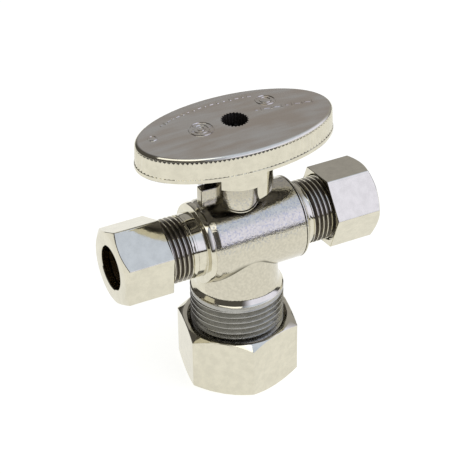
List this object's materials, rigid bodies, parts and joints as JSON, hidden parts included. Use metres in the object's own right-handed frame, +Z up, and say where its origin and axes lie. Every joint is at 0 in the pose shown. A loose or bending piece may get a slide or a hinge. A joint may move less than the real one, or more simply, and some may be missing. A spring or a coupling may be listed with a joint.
{
  "type": "angle stop valve",
  "caption": "Quarter-turn angle stop valve with a compression inlet below, opposed compression outlets and an oval handle that turns a ported ball.",
  "frame": {"origin": "centre of the inlet nut's lower face, on the axis that the inlet tube and the stem share; the run axis crosses it 36 mm higher", "axes": "+Z up along the stem to the handle; +X along the run to the right outlet; -Y towards the front, as the handle's face is read"},
  "size_m": [0.0612, 0.0272, 0.0642],
  "materials": {
    "polished_chrome": "bright chrome plate over brass or zinc",
    "cast_chrome": "chrome plate over a lightly textured forging",
    "brass": "plain machined brass",
    "steel": "plain steel",
    "rubber": "black nitrile rubber",
    "ptfe": "white PTFE"
  },
  "bodies": {
    "valve": {"valve_body": "cast_chrome", "end_adapter": "cast_chrome", "adapter_o_ring": "rubber", "seat_ring_left": "ptfe", "seat_ring_right": "ptfe", "seat_o_ring_left": "rubber", "seat_o_ring_right": "rubber", "stem_thrust_washer": "ptfe"},
    "spindle": {"handle": "polished_chrome", "handle_screw": "steel", "handle_screw_washer": "steel", "stem": "brass", "stem_o_ring_upper": "rubber", "stem_o_ring_lower": "rubber"},
    "ball": {"ball": "polished_chrome"},
    "outlet_left_sleeve": {"outlet_left_ferrule": "brass"},
    "outlet_left_nut": {"outlet_left_nut": "polished_chrome"},
    "outlet_right_sleeve": {"outlet_right_ferrule": "brass"},
    "outlet_right_nut": {"outlet_right_nut": "polished_chrome"},
    "inlet_sleeve": {"inlet_ferrule": "brass"},
    "inlet_nut": {"inlet_nut": "polished_chrome"}
  },
  "joints": [
    {"name": "handle_turn", "type": "hinge", "parent": "valve", "child": "spindle", "pos_m": [0, 0, 0.036], "axis": [0, 0, 1], "range_deg": [-90, 0]},
    {"name": "ball_turn", "type": "hinge", "parent": "valve", "child": "ball", "pos_m": [0, 0, 0.036], "axis": [0, 0, 1], "range_deg": [-90, 0]},
    {"name": "outlet_left_travel", "type": "slide", "parent": "valve", "child": "outlet_left_sleeve", "axis": [-1, 0, 0], "range_m": [0, 0.00531]},
    {"name": "outlet_left_nut_turn", "type": "hinge", "parent": "outlet_left_sleeve", "child": "outlet_left_nut", "pos_m": [0, 0, 0.036], "axis": [-1, 0, 0], "range_deg": [0, 1800]},
    {"name": "outlet_right_travel", "type": "slide", "parent": "valve", "child": "outlet_right_sleeve", "axis": [1, 0, 0], "range_m": [0, 0.00531]},
    {"name": "outlet_right_nut_turn", "type": "hinge", "parent": "outlet_right_sleeve", "child": "outlet_right_nut", "pos_m": [0, 0, 0.036], "axis": [1, 0, 0], "range_deg": [0, 1800]},
    {"name": "inlet_travel", "type": "slide", "parent": "valve", "child": "inlet_sleeve", "axis": [0, 0, -1], "range_m": [0, 0.00708]},
    {"name": "inlet_nut_turn", "type": "hinge", "parent": "inlet_sleeve", "child": "inlet_nut", "pos_m": [0, 0, 0.036], "axis": [0, 0, -1], "range_deg": [0, 1800]}
  ],
  "couplings": [
    {"joint": "ball_turn", "follows": "handle_turn", "ratio": 1},
    {"joint": "outlet_left_travel", "follows": "outlet_left_nut_turn", "m_per_rad": 0.00016844},
    {"joint": "outlet_right_travel", "follows": "outlet_right_nut_turn", "m_per_rad": 0.00016844},
    {"joint": "inlet_travel", "follows": "inlet_nut_turn", "m_per_rad": 0.00022459}
  ]
}
